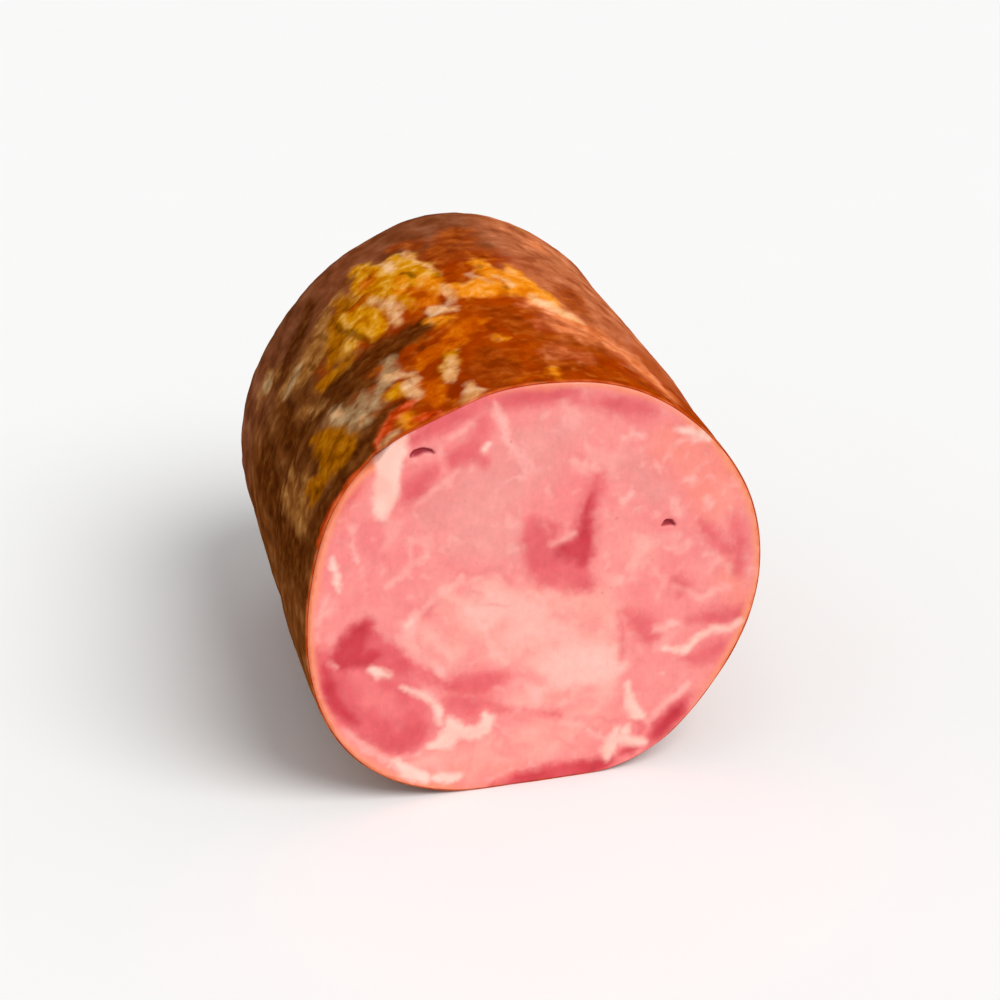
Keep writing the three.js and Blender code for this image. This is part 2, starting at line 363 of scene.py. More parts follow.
FACE_HEIGHT = 55.7
FACE_STROKES = {
    "grey": [
        [(-26, 80, 10), (-14, 84, 18), (-2, 92, 18), (6, 98, 10)],
        [(-16, 74, 14), (-8, 70, 14)],
        [(24, 86, 8), (30, 80, 8)],
        [(-21, 38.5, 4), (-24, 42, 4), (-27, 46, 3)],
    ],
    "salmon": [
        [(32, 92, 8), (40, 86, 15), (46, 79, 15), (47, 73, 10)],
        [(-50, 84, 6), (-46, 91, 7), (-41, 96, 4)],
        [(-46, 17, 6), (-38, 10, 7), (-26, 9, 8), (-10, 8, 8)],
        [(50, 54, 8), (53, 47, 5)],
        [(48, 26, 4), (42, 20, 4)],
        [(-57, 60, 4), (-58, 50, 4), (-57, 40, 3)],
    ],
    "peach": [
        [(-22, 58, 6), (-17, 52, 18), (-8, 49, 24), (2, 46, 24), (12, 42, 24), (15, 34, 18)],
        [(-28, 49, 6), (-22, 43, 8)],
        [(23, 65, 6), (28, 62, 6)],
        [(18, 55, 6), (16, 50, 8)],
        [(-30, 12, 5), (-16, 11, 9), (0, 13, 12), (13, 17, 10)],
        [(-4, 25, 8), (6, 25, 10), (16, 24, 8)],
    ],
    "light": [
        [(3, 36, 8), (9, 34, 15), (14, 33.5, 15), (18, 32, 9)],
        [(-16, 55, 8), (-6, 51, 10), (0, 46, 10)],
    ],
    "rose": [
        [(-1, 73, 6), (0.5, 67, 9), (4, 61.5, 12), (9, 58.5, 9), (12, 56.5, 5)],
        [(14.8, 86, 1.6), (13.8, 82, 4), (12.6, 78, 5.4), (12, 74, 5.6), (11.6, 69, 7), (11, 62, 7)],
        [(2.6, 74.6, 1.6), (4.2, 71.8, 3.6), (3.8, 69, 2)],
        [(-31, 100.6, 3), (-26, 103.3, 5.5), (-21.5, 105.6, 6.5), (-17, 107.4, 6.5), (-12.5, 108.4, 4.5)],
        [(-20.8, 94.8, 5.5), (-17.5, 96.8, 6), (-14.8, 100, 6.5), (-13.6, 104, 4)],
        [(-56, 46, 4), (-52.5, 40, 8), (-51, 34, 9), (-48, 28, 9), (-43, 22.5, 8), (-38, 17.5, 6)],
        [(-45, 50, 6), (-43, 45, 10), (-38, 42.5, 8), (-34, 40, 4)],
        [(-39, 35.8, 2.4), (-35, 32.4, 4), (-31.6, 27, 6), (-32.6, 21, 6.6), (-35.5, 16, 4.4)],
        [(-51, 82, 3), (-48.6, 86, 4.4), (-45, 90.5, 3)],
        [(40, 41.5, 2), (46, 42, 5), (52, 42.4, 5)],
        [(29.5, 7.5, 3), (33, 11.8, 7), (37, 16, 7), (40, 19.5, 3)],
        [(-15.8, 95, 3), (-13.6, 93, 2.4)],
        [(-32.6, 86, 4), (-30.6, 88.8, 8), (-27.8, 91.3, 5)],
        [(-13, 108.6, 5.5), (-9, 108.8, 6.4), (-5, 109, 6), (2, 108.6, 5.4), (8, 107.8, 4.6)],
        [(8, 105.5, 2), (14, 105, 4), (20, 104, 5.5), (25.5, 102.4, 5), (28.5, 101.3, 2.5)],
        [(42.8, 68.7, 2.4), (45, 66, 4.5), (47, 62.7, 4.4), (50, 60, 2)],
        [(42, 41.2, 1.2), (46, 41, 2.6), (50, 41, 2.8), (53, 41.6, 1.6)],
        [(39.5, 31, 3), (44.5, 31.2, 5.5), (48.3, 33, 4.5)],
        [(23, 46, 3), (27, 42, 6), (30, 38.6, 5)],
        [(-27.5, 36.5, 2.4), (-24, 33, 4), (-19, 31.5, 7), (-13.5, 32, 6), (-9, 33, 3)],
        [(-22.5, 27, 5), (-17.5, 25.5, 6), (-13.5, 26.2, 3.4), (-10, 24, 2), (-7, 23, 1)],
        [(-3, 22.6, 0.7), (1, 21.4, 0.9), (6, 19.2, 0.5)],
        [(-28.3, 53, 0.8), (-27.1, 54.8, 1.4), (-26, 56.3, 0.7)],
        [(20.8, 46.5, 1), (22.2, 41, 1.5), (22, 33, 1.2)],
        [(26.5, 14.5, 1.4), (27.6, 12.2, 2.2), (26.2, 10.6, 1.2)],
        [(50.5, 70, 3), (52.5, 62, 4.5), (52, 54, 3)],
        [(36.5, 54, 2), (38.4, 52, 3), (37, 50, 2)],
    ],
    "muscle": [
        [(-43, 52, 4), (-46, 47.5, 9), (-46.5, 41, 14.5), (-44.5, 33.5, 18.5), (-40, 27, 18.5),
         (-34.8, 20.5, 13), (-33.5, 16, 7)],
        [(-40, 45, 5), (-36.5, 38.5, 8), (-33, 33, 6)],
        [(-34, 40.5, 5), (-30, 37, 4.5), (-27.5, 34, 3)],
    ],
    "deep": [
        [(-43.2, 52.3, 2), (-45, 49.5, 5.4), (-47.3, 46.3, 7.4), (-49.3, 43.6, 6.4)],
        [(-47, 43.6, 4.5), (-43.2, 43, 4.5), (-40.5, 43.6, 2.4)],
        [(-54, 42, 2), (-53.4, 37.5, 3.6), (-52.4, 33, 4), (-50, 28.7, 3.2), (-46.5, 25, 1.6)],
        [(5.2, 65.2, 3), (8, 65.6, 6.4), (11, 66, 6.8)],
        [(12, 70.5, 3), (11.9, 67, 4.6), (11.6, 62.6, 4)],
        [(13.2, 80.5, 0.8), (12.3, 76.6, 2.2), (12, 72, 2.6)],
        [(-12, 1.4, 2), (-5, 1.8, 4.6), (2, 2, 6.4), (8, 2.2, 6.6), (14, 2.8, 5.4), (19.5, 4, 3)],
        [(31, 9.3, 2.8), (33, 11.4, 4.2), (36, 14.4, 3.8), (38.5, 17, 2)],
        [(22.6, 5.8, 1.2), (24.4, 6.2, 2), (26, 6.6, 1)],
    ],
    "veil": [
        [(-30.5, 54, 2), (-33, 50.8, 4.4), (-33.8, 47.8, 4), (-32.5, 44, 3), (-29.5, 41, 3.2),
         (-26.5, 38.3, 3.4), (-24, 35, 2)],
        [(-27, 47, 1.6), (-24.5, 43.5, 2.4), (-22, 41, 1.4)],
        [(-31, 53, 1.4), (-26, 57, 2), (-20, 61.5, 1.4)],
        [(-45.5, 80, 1), (-46.4, 74.5, 1.4), (-45, 70, 1)],
        [(-52.5, 62, 1), (-54.5, 56, 1.2), (-55.5, 50, 0.8)],
        [(-30.5, 83.5, 0.8), (-27, 86, 1.2), (-23, 89, 1.4), (-20, 91.5, 0.8)],
        [(-23, 99.6, 0.7), (-19.6, 101.4, 1.1), (-16.8, 103, 0.7)],
        [(-10.5, 107, 2), (-9.4, 103.5, 2), (-7.5, 97, 1.2), (-4, 90, 0.9)],
        [(8.5, 91, 0.8), (12, 88.6, 1.3), (15, 87, 0.8)],
        [(21.5, 94.4, 1.2), (24, 95.7, 2.4), (26.2, 95.1, 1.4)],
        [(34.6, 76, 2), (36.3, 73, 3)],
        [(43, 76, 1.4), (44.6, 73.8, 2.2)],
        [(29.4, 86, 1.2), (30.6, 85.4, 1.8)],
        [(37, 81.4, 1), (39, 80.8, 1.8)],
        [(20, 79, 1), (22, 78, 1.8), (24, 79.5, 1)],
        [(25, 68, 1.6), (27.6, 65.4, 3), (25.4, 61, 2.4), (23, 58.5, 1.2)],
        [(17, 57, 1.6), (20.5, 55.8, 2.6)],
        [(3.2, 67.6, 0.8), (6.4, 69.2, 1.1), (9, 70.4, 0.8)],
        [(30.5, 40.4, 1.6), (33.5, 40.6, 2.8), (36.5, 41.2, 1.2)],
        [(36, 52, 1), (43, 48, 1.4), (50, 50, 1)],
        [(29, 14, 1), (33, 17.6, 2.2), (37, 20.6, 2), (40.5, 23.4, 1)],
        [(-1.8, 29, 2.4), (0.6, 27.2, 3.8), (0.4, 25, 2.4)],
        [(6, 17, 0.8), (12, 15, 1.4), (17, 11.5, 1.2)],
        [(-35.5, 12.8, 0.9), (-31.5, 13.6, 1.1), (-29, 15.4, 0.9)],
        [(-52.4, 42.6, 0.8), (-51.4, 41.8, 1.2)],
        [(-50, 24, 1), (-44, 17.5, 1.6), (-38, 12.5, 1.6)],
        [(-38, 63, 1), (-33, 66, 1.4), (-28, 69.5, 1)],
        [(-14, 47, 1), (-12, 40, 1.4), (-8, 37, 1)],
        [(30, 58, 1), (33, 54, 1.3), (31, 50, 0.8)],
    ],
    "fat": [
        [(-33.2, 100.9, 2), (-35.3, 98.2, 5.6), (-37.1, 95.2, 6.4), (-37.6, 91, 5.8), (-38, 87, 5.8),
         (-38.8, 83.6, 4), (-39.2, 81.2, 1.8)],
        [(-51.6, 71.5, 1), (-51, 68.6, 1.9), (-50.3, 65.8, 1.1), (-49.7, 62.4, 0.6)],
        [(53.6, 40.2, 1.2), (50, 38.2, 1.9), (46, 38.2, 1.9), (43, 37.1, 2.1), (40.8, 34.9, 2.1),
         (38.5, 33.1, 1.9), (35.6, 33.7, 1.2), (33.4, 34.4, 0.6)],
        [(-35, 34.2, 0.6), (-31.6, 31.9, 1.3), (-29.1, 30.4, 1.7), (-27.3, 28.1, 1.7), (-26.1, 25.4, 1.6),
         (-25.3, 22, 1.6)],
        [(-27.4, 16, 2.4), (-23.8, 17.1, 5.6), (-22, 19.4, 5.4), (-23.2, 22.6, 2.2)],
        [(-20.5, 18.5, 4), (-17, 17.8, 3.6), (-14.3, 18.8, 3.8), (-12.9, 21, 3.2), (-13.8, 22.6, 1.6)],
        [(-37, 12.8, 1.4), (-34.8, 10.2, 2.8), (-32, 7.7, 3.4), (-29, 6, 2.6)],
        [(-27, 5.8, 1.6), (-23.6, 5.6, 3), (-20.4, 6, 1.6)],
        [(23.8, 26, 1.2), (24.2, 22, 2.2), (24.6, 19, 3), (25.8, 16.9, 3.8), (27.4, 16, 2)],
        [(21.4, 13.6, 1.6), (20.5, 10.5, 3.3), (19.3, 7.6, 3.8), (18.6, 5.4, 2)],
        [(22.2, 10.4, 3), (25, 9, 2.8), (28.4, 8, 1.4)],
        [(24, 14, 1), (23.2, 12.4, 2.4)],
        [(-42.4, 40, 1.4), (-40.3, 38.7, 2.9), (-38, 37.8, 1.6)],
        [(34.6, 95.8, 0.8), (37.5, 94.8, 2), (40.5, 93.3, 2), (42.8, 92.1, 0.8)],
        [(-13.8, 96.2, 1.7), (-12.4, 97.2, 0.8)],
        [(-33.6, 50.4, 1.2), (-32.4, 51.6, 0.7)],
    ],
    # The slits are darker inside: painted shade in the recess.
    "pit": [
        [(-31.3, 96.3, 1.1), (-30.4, 96.9, 1.8), (-28.7, 97.4, 1.4), (-27, 97.1, 1), (-26, 96.6, 0.5)],
        [(32, 69.7, 0.7), (33, 70.4, 1.7), (34, 70.3, 1.5), (34.9, 69.6, 0.6)],
    ],
    "speck": [
        [(19.9, 73.1, 1)],
        [(14.6, 72.4, 0.7)],
        [(16.5, 53, 0.8)],
        [(18.7, 54.2, 0.7)],
        [(-7, 97, 0.9)],
        [(29.4, 60.4, 0.6)],
        [(37.5, 54.5, 0.6)],
    ],
}

FACE_PAINTS = {
    "grey": Paint(8.0, 0.6, 0.75, (232, 142, 137), (236, 149, 143), (241, 156, 149)),
    "salmon": Paint(7.0, 0.6, 0.8, (245, 132, 118), (248, 140, 124), (251, 150, 134)),
    "peach": Paint(6.5, 0.7, 0.9, (247, 152, 143), (250, 163, 151), (252, 173, 161)),
    "light": Paint(6.5, 0.7, 0.85, (250, 178, 165), (252, 188, 175), (253, 196, 183)),
    "muscle": Paint(3.0, 0.45, 0.9, (226, 97, 103), (236, 112, 115), (242, 124, 122)),
    "rose": Paint(3.8, 0.55, 0.88, (218, 78, 86), (226, 92, 98), (236, 110, 112)),
    "deep": Paint(2.8, 0.45, 0.96, (190, 34, 50), (202, 48, 62), (216, 74, 84)),
    "veil": Paint(2.1, 0.9, 0.72, (247, 164, 154), (250, 176, 166), (252, 190, 180)),
    "fat": Paint(1.9, 0.6, 0.96, (247, 188, 172), (250, 202, 186), (253, 214, 200)),
}
PIT_FADE = 0.6
SPECK_FADE = 0.6
RIM_WIDTH = 2.8
RIM_WARMTH = [
    (136, 5, 0.5),
    (158, 17, 0.9),
    (196, 24, 0.7),
    (230, 18, 0.8),
    (20, 34, 0.85),
    (-28, 14, 0.5),
    (84, 14, 0.5),
]


def face_fields(x, height, rim_distance):
    """The fields of the cut face, at places in mm from the middle of the cut and above its lowest point."""
    places = np.stack([x, height], axis=1)
    solid = np.stack([x, height, np.zeros(len(x))], axis=1)
    bend = np.stack([layered(solid, 9.0, 31), layered(solid, 9.0, 37)], axis=1)
    crinkle = np.stack([layered(solid, 2.6, 41, 2), layered(solid, 2.6, 43, 2)], axis=1)
    wavy = places + 0.45 * bend + 0.16 * crinkle
    fields = {}
    for kind, paint in FACE_PAINTS.items():
        fields[kind] = painted(wavy, FACE_STROKES[kind], paint.fade)
    fields["pit"] = painted(places, FACE_STROKES["pit"], PIT_FADE)
    fields["speck"] = painted(places, FACE_STROKES["speck"], SPECK_FADE)
    angle = np.degrees(np.arctan2(height - FACE_HEIGHT, x))
    warmth = np.clip(0.12 + lobe_height(RIM_WARMTH, angle), 0, 1)
    fields["rim"] = warmth * np.clip(1.0 - rim_distance / RIM_WIDTH, 0, 1)
    return fields


def face_swell(x, z, share):
    waves = np.sin(x / 11 + 0.8) * np.cos(z / 13 - 0.5) + 0.6 * np.sin(x / 7 - z / 9)
    waves = waves + 0.4 * np.cos(z / 5.5 + x / 16)
    return FACE_RELIEF * 0.5 * (waves + 2) * (1 - share**6)


def face_depth(x, z, fields, share):
    """How far each place of the cut face lies behind the plane of the cut."""
    solid = np.stack([x, z, np.zeros(len(x))], axis=1)
    seams = 0.16 * np.exp(-np.square((fields["muscle"] - 0.5) / 0.16))
    seams = seams + 0.12 * np.exp(-np.square((fields["deep"] - 0.5) / 0.2))
    soft_parts = 0.12 * fields["deep"] - 0.1 * fields["fat"] + 0.05 * fields["veil"]
    grain = 0.05 * layered(solid, 3.0, 53) + 0.03 * noise(solid, 1.1, 59)
    fine = (0.15 + seams + soft_parts + grain) * smooth((1 - share) * 12)
    return face_swell(x, z, share) + fine + PIT_DEPTH * smooth((fields["pit"] - 0.25) / 0.6)


def skin_depth(body):
    """How thick the casing is, from thin at the cut to whole a little way behind it."""
    return CUT_THICKNESS + (SKIN_THICKNESS - CUT_THICKNESS) * smooth(body / TAPER)


def make_meat():
    """The meat: a coarse hidden side, a rounded rim, and a fine cut face."""
    angle = FULL_TURN * np.arange(FACE_COLUMNS) / FACE_COLUMNS
    whole = SKIN_THICKNESS + SKIN_GAP
    side_rows = [(SHOULDER, sweep, whole) for sweep in (84.0, 75.0, 60.0, 45.0, 30.0, 15.0)]
    side_rows += [(body, 0.0, whole) for body in np.linspace(SHOULDER, TAPER, 12)]
    side_rows += [(body, 0.0, skin_depth(body) + SKIN_GAP) for body in (3.2, 2.4, 1.6, 0.9, 0.45)]
    side_rows += [(body, 0.0, CUT_THICKNESS + SKIN_GAP + round_off) for body, round_off in MEAT_EDGE]
    rows = []
    for body, sweep, inset in side_rows:
        ones = np.ones(FACE_COLUMNS)
        rows.append(surface(angle, body * ones, sweep * ones, inset * ones, inset)[0])
    rim = rows[-1]
    centre = np.array([AXIS_X, CUT_Y, AXIS_HEIGHT])
    shares = np.linspace(1, 0, FACE_RINGS + 1)[1:-1]
    for share in shares:
        rows.append(centre + (rim - centre) * share)
    face_start = len(side_rows) * FACE_COLUMNS
    points = np.vstack(rows + [centre[None], axis_end(whole)[None]])
    share = np.concatenate([np.ones(face_start), np.repeat(shares, FACE_COLUMNS), [0.0, 1.0]])

    x = points[:, 0] - AXIS_X
    height = points[:, 2] - AXIS_HEIGHT + FACE_HEIGHT
    radius = np.hypot(x, height - FACE_HEIGHT)
    rim_distance = np.where(share > 0, radius * (1 / np.maximum(share, 0.02) - 1), MEAN_RADIUS)
    fields = face_fields(x, height, rim_distance)
    depth = face_depth(points[:, 0], points[:, 2], fields, share)
    on_face = np.zeros(len(points), bool)
    on_face[face_start:-1] = True
    points[on_face, 1] += depth[on_face]

    count = len(rows)
    faces = ring_faces(count, FACE_COLUMNS)
    faces += fan_faces((count - 1) * FACE_COLUMNS, FACE_COLUMNS, count * FACE_COLUMNS)
    faces += fan_faces(0, FACE_COLUMNS, count * FACE_COLUMNS + 1)
    return make_piece("ham_meat", points, faces, fields)


# The casing. Strokes are (angle, distance from the cut, width): a degree is about a millimetre.

SEEN_MIDDLE = 115.0
SKIN_STROKES = {
    "dark": [
        [(153, 49, 8), (144, 46.5, 13), (136, 45.5, 16), (128, 45.5, 17), (120, 46, 17), (113, 46, 14),
         (109.5, 45, 7)],
        [(137, 40, 6), (131, 37, 7), (126, 33, 3)],
        [(164, 6, 7), (157, 5.5, 11), (148, 4.5, 11), (141, 4, 10), (136.5, 7, 7)],
        [(135, 7, 7), (130.5, 12, 6), (125.5, 14.5, 4), (121.5, 14, 2)],
        [(158, 37, 5), (157, 50, 8), (155, 62, 8), (151, 70, 5)],
        [(150, 88, 9), (141, 94, 10), (133, 100, 7)],
        [(170, 70, 14), (173, 50, 16), (174, 30, 16), (170, 12, 13)],
        [(149, 40, 5), (150.5, 33, 5), (150, 27, 3)],
    ],
    "lean": [
        [(98, 73, 6), (96, 79, 9), (91, 86, 13), (87, 95, 10)],
        [(90, 79, 7), (85.5, 75, 5)],
        [(97, 21, 6), (97, 13, 13), (100, 5, 8)],
        [(91.5, 44, 5), (88.5, 37, 7), (87, 31, 6)],
        [(82, 25, 5), (75, 24, 9), (69, 22, 7)],
        [(86, 13, 6), (80, 9, 7)],
        [(104, 99, 6), (99, 93, 6)],
        [(137, 66, 4), (136, 61, 5), (131, 65, 3)],
        [(66, 58, 8), (68, 48, 8)],
    ],
    # The salmon ridge is salmon-brown skin with painted sheen on it.
    "salmon": [
        [(79, 46, 4), (74, 40, 7), (68, 35, 9), (62, 29, 11), (57, 21, 10), (53, 11, 8)],
        [(66, 92, 3), (64, 98, 4)],
        [(78, 32, 4), (70, 28, 6)],
        [(83, 17, 2), (79, 18, 3), (76, 15, 2)],
    ],
    "tan": [
        [(152, 79, 4), (147, 77, 9), (141, 74, 13), (135, 76, 12), (131, 82, 8), (129, 89, 4)],
        [(128, 60, 6), (131, 57, 5), (127, 56, 4)],
        [(167, 46, 3), (165, 36, 4), (164, 26, 4), (161, 14, 3)],
        [(160, 42, 3), (160, 30, 3.5), (158, 18, 3)],
        [(161, 98, 5), (156, 95, 8), (152, 92, 4)],
        [(148, 59, 3), (145, 53, 4), (142, 45, 3)],
        [(124, 92, 5), (122, 84, 5), (120, 80, 3)],
        [(159.5, 16, 2), (156.5, 24, 3), (154.5, 30, 2)],
    ],
    "amber": [
        [(147, 35, 4), (144.5, 29, 8), (142.5, 22.5, 12), (141, 16, 12), (138.5, 12.5, 6)],
        [(155, 22, 4), (152, 17, 9), (148, 14.5, 8)],
        [(133, 62, 5), (129.5, 67, 8), (128, 74, 8), (127, 82, 6)],
        [(123.5, 88, 4), (123.5, 82, 8), (122, 76, 9), (120, 71, 7)],
        [(140, 58, 3), (135, 57, 5), (129, 55, 4)],
    ],
    "gold": [
        [(116, 99, 4), (114.5, 93, 8), (112, 85, 14), (110, 77, 17), (107, 69, 15), (104, 62, 10)],
        [(105.5, 91, 4), (104, 85, 8), (103, 77, 8), (101, 68, 5)],
        [(117, 90, 5), (117, 84, 7), (116, 78, 6)],
        [(109, 15, 2), (107.4, 20, 4), (105.6, 25.5, 3)],
        [(123, 76, 7), (121, 69, 9), (119.5, 62, 10), (118.5, 56.5, 6)],
        [(125, 22.5, 3), (122.5, 21, 6), (120.5, 17.5, 3)],
        [(128.5, 59, 3), (126.8, 62.5, 4), (126.5, 58, 3)],
    ],
    "orange": [
        [(107, 67, 4), (104.5, 63, 8), (103.5, 58, 7), (103, 54, 3)],
        [(118, 83, 2), (114, 86, 6), (112, 89, 3)],
        [(121.5, 77, 3), (118.5, 78, 4)],
        [(114, 27, 4), (111, 29, 8), (106, 30, 7), (101.5, 33.5, 8), (97, 37.5, 7)],
        [(115.5, 17, 6), (114, 12.5, 8), (114.5, 8, 5)],
        [(93.5, 53, 3), (88, 51.5, 4)],
    ],
    "bright": [
        [(98, 60, 3), (95, 56.5, 7), (90, 56, 10), (85, 57.5, 12), (80.5, 54.5, 11), (77, 50, 7),
         (75, 45.5, 3.5)],
        [(88, 73, 1.6), (87.6, 68, 4), (86, 62, 7)],
        [(80.8, 68, 2), (80, 64, 4), (80.5, 59, 6)],
        [(109.5, 68, 3), (108.5, 72, 4), (108, 76, 3)],
        [(103, 69, 3), (100.5, 64, 4), (99.8, 57, 2.5)],
        [(124, 9, 3), (123, 6, 4.4), (122.4, 3, 3)],
        [(92.5, 28, 1.6), (91.6, 25.5, 2.6)],
        [(85.5, 7, 2.4), (85, 4, 3.4), (84.5, 1, 3)],
        [(105, 42, 3), (103, 45, 4), (106, 47.5, 3)],
    ],
    "red": [
        [(132, 2.5, 3), (128.5, 6.5, 4), (124, 11, 4.4), (120.5, 12.5, 3)],
        [(121, 3.5, 3), (117.5, 2, 3)],
        [(160, 1, 2.4), (150, 0.7, 2.4), (140, 0.7, 2.4)],
    ],
    # Grey patches are painted highlights: soft pale glare on the film.
    "grey": [
        [(140, 37, 3), (138.5, 33.5, 5), (136, 27, 6), (132.5, 20.5, 7.4), (131.5, 16.5, 4)],
        [(120.5, 38, 3), (122, 31.5, 5), (126, 25, 5), (130.5, 20, 5.5)],
        [(130.2, 30, 2), (130.6, 26, 4), (131.5, 22.5, 4)],
        [(159, 97, 4), (155.5, 94.5, 5)],
        [(145, 78, 4), (149, 76, 4)],
    ],
    # Cream patches are partly fat seen through the film and partly painted highlight.
    "cream": [
        [(116.8, 75, 1.2), (115.6, 71, 2.4), (113.6, 65, 3.8), (112.8, 59, 3.2), (113.4, 54, 2)],
        [(104, 53, 1.6), (101.8, 50.6, 4), (99.4, 49, 2.6)],
        [(99.2, 62, 1), (98.6, 58, 2), (99, 53, 2.2)],
        [(78.4, 48.3, 1.2), (75.5, 44.5, 2.8), (72, 41, 3), (68.5, 38, 1.4)],
        [(107.6, 0.5, 5), (105.8, 3.6, 5.4), (105.6, 7.5, 2.4)],
        [(108.8, 13, 1.2), (107.8, 18, 2.6), (106.4, 22.5, 2.2)],
        [(119.6, 22, 2.4), (118.7, 17, 4.8), (117.6, 13.4, 3)],
        [(119.8, 29, 2), (118.2, 25.5, 4), (117, 21, 2.4)],
        [(123.4, 31.6, 2), (122.4, 29.4, 3.6), (120.6, 27, 2.4)],
        [(139.6, 35.5, 1.4), (138.6, 33.5, 2.8), (137.2, 30, 1.8)],
        [(132.6, 19.5, 1.8), (132, 17.6, 1.8)],
        [(103, 92, 0.9), (101.3, 85, 1.6), (100.3, 78, 1.4), (99, 71, 0.9)],
        [(109, 91, 1.2), (107.3, 88, 2.2), (107, 84, 1.4)],
        [(91, 64, 0.8), (90.4, 61, 1.6), (88, 57, 1.2)],
        [(85.6, 61, 1), (84.5, 57.5, 2), (83, 54, 1)],
        [(134, 0.5, 2.6), (131, 1.6, 3), (127, 2.4, 1.8)],
    ],
    "crack": [
        [(127.5, 79, 1), (127.2, 74, 1.8), (125.4, 68, 1.6), (124, 62, 1.8), (122.8, 56, 2)],
        [(133.5, 82, 1.2), (132.5, 78, 1.8), (131.5, 74, 0.8)],
        [(141, 76, 0.7), (139, 70, 1.4), (137.5, 66, 0.9)],
        [(152.6, 18, 1), (152.4, 15.5, 1.8)],
        [(147.2, 26, 0.9), (147, 24, 1.6)],
        [(88.6, 68, 0.8), (88, 66, 1.6)],
        [(85, 54.4, 1.2), (84.3, 53, 1.4)],
        [(113, 90, 1), (113.5, 87, 1.8)],
        [(122.5, 79, 1), (120, 78.6, 1.6), (117, 79.5, 1)],
        [(106.4, 78, 0.8), (105, 75, 1.5), (104.6, 72, 0.8)],
    ],
}
SKIN_PAINTS = {
    "dark": Paint(4.5, 0.8, 0.92, (74, 29, 2), (96, 45, 10), (118, 66, 24)),
    "lean": Paint(4.0, 0.9, 0.8, (136, 46, 0), (158, 62, 6), (184, 88, 24)),
    "salmon": Paint(7.0, 0.8, 0.85, (222, 112, 56), (240, 134, 78), (252, 158, 110)),
    "tan": Paint(3.6, 0.9, 0.85, (150, 88, 34), (178, 116, 54), (202, 144, 84)),
    "amber": Paint(3.2, 0.9, 0.94, (140, 74, 0), (174, 98, 0), (198, 122, 10)),
    "gold": Paint(3.0, 0.9, 0.96, (204, 116, 0), (228, 150, 10), (246, 184, 88)),
    "orange": Paint(2.8, 0.9, 0.92, (180, 68, 0), (202, 86, 0), (222, 114, 10)),
    "bright": Paint(2.8, 1.0, 0.96, (228, 118, 2), (244, 146, 26), (252, 172, 90)),
    "red": Paint(2.2, 0.9, 0.85, (166, 36, 2), (216, 66, 12), (246, 110, 64)),
    "grey": Paint(3.2, 1.0, 0.85, (156, 112, 72), (184, 146, 102), (204, 170, 126)),
    "cream": Paint(2.4, 0.9, 0.85, (226, 154, 88), (243, 182, 124), (251, 203, 158)),
    "crack": Paint(1.4, 0.8, 0.7, (98, 48, 0), (114, 58, 0), (132, 72, 2)),
}

# Broad parts of the skin: where each starts and ends, in degrees round from the middle of what shows, over
# how many degrees it comes and goes, and how much its two borders waver
FLANK = dict(start=6, coming=14, end=150, going=45, waver=(3, 0))
# The right band's colour is partly painted sheen on salmon-brown skin.
RIGHT = dict(start=29, coming=14, end=115, going=50, waver=(3, 4))
UNDER = dict(start=66, coming=40, end=200, going=60, waver=(5, 0))
RIGHT_COMES = dict(at=6, over=50, waver=8)
BACK_COMES = dict(at=78, over=20, waver=6, sooner=9, turn=15)

# Patches where the photo doesn't reach: how many, the longest and the widest in mm. They are softer and
# fainter than those that it shows.
HIDDEN_PATCHES = {
    "gold": (3, 38, 15),
    "amber": (14, 36, 15),
    "tan": (15, 34, 10),
    "bright": (3, 24, 10),
    "orange": (8, 26, 12),
    # As on the upper side, hidden grey patches are painted highlight, and hidden cream ones are partly
    # painted highlight.
    "cream": (9, 16, 4),
    "grey": (4, 16, 6),
    "lean": (18, 32, 16),
    "dark": (13, 36, 15),
    "crack": (16, 14, 2),
}
HIDDEN_SEED = 7
HIDDEN_FADE = 2.0
HIDDEN_COVER = 0.78
SEEN_ANGLES = (42.0, 196.0)
SEEN_END = 108.0


def is_seen(angle, along):
    return SEEN_ANGLES[0] < angle % FULL_TURN < SEEN_ANGLES[1] and along < SEEN_END


def hidden_strokes():
    """Patches for the flank, the underside and the far end, as long and wide as those on the upper side."""
    draw = np.random.default_rng(HIDDEN_SEED)
    found = {}
    for kind, (count, longest, widest) in HIDDEN_PATCHES.items():
        strokes = []
        while len(strokes) < count:
            angle = draw.uniform(0, FULL_TURN)
            along = draw.uniform(0, LENGTH)
            heading = math.radians(draw.normal(90, 35))
            step = draw.uniform(0.5, 1) * longest / 3
            width = draw.uniform(0.45, 1) * widest
            if is_seen(angle, along):
                continue
            stroke = []
            for share in (0.35, 1.0, 0.8, 0.3):
                stroke.append((angle, along, width * share))
                heading += math.radians(draw.normal(0, 22))
                angle += step * math.cos(heading)
                along += step * math.sin(heading)
            if not any(is_seen(a, y) for a, y, _ in stroke):
                strokes.append(stroke)
        found[kind] = strokes
    return found


def unrolled(angle, along):
    """Places on the casing laid flat, in mm, with the seam low on the hidden right side."""
    across = np.radians(turn(angle - SEEN_MIDDLE)) * MEAN_RADIUS
    return np.stack([across, along], axis=-1)


def unrolled_strokes(strokes):
    """Strokes laid flat as the casing is. One near the seam is there twice, once on each side of it."""
    around = 2 * math.pi * MEAN_RADIUS
    flat = []
    for stroke in strokes:
        angle, along, width = np.array(stroke, float).T
        across = np.radians(angle - angle[0] + turn(angle[0] - SEEN_MIDDLE)) * MEAN_RADIUS
        for shift in (-around, 0.0, around):
            flat.append(np.stack([across + shift, along, width], axis=1))
    return flat


def band(around, part, bend):
    """A field that is 1 over a broad part of the skin, with wavering borders."""
    near, far = part["waver"]
    comes = smooth((around - part["start"] + near * bend[:, 1]) / part["coming"])
    return comes * smooth((part["end"] - around + far * bend[:, 0]) / part["going"])


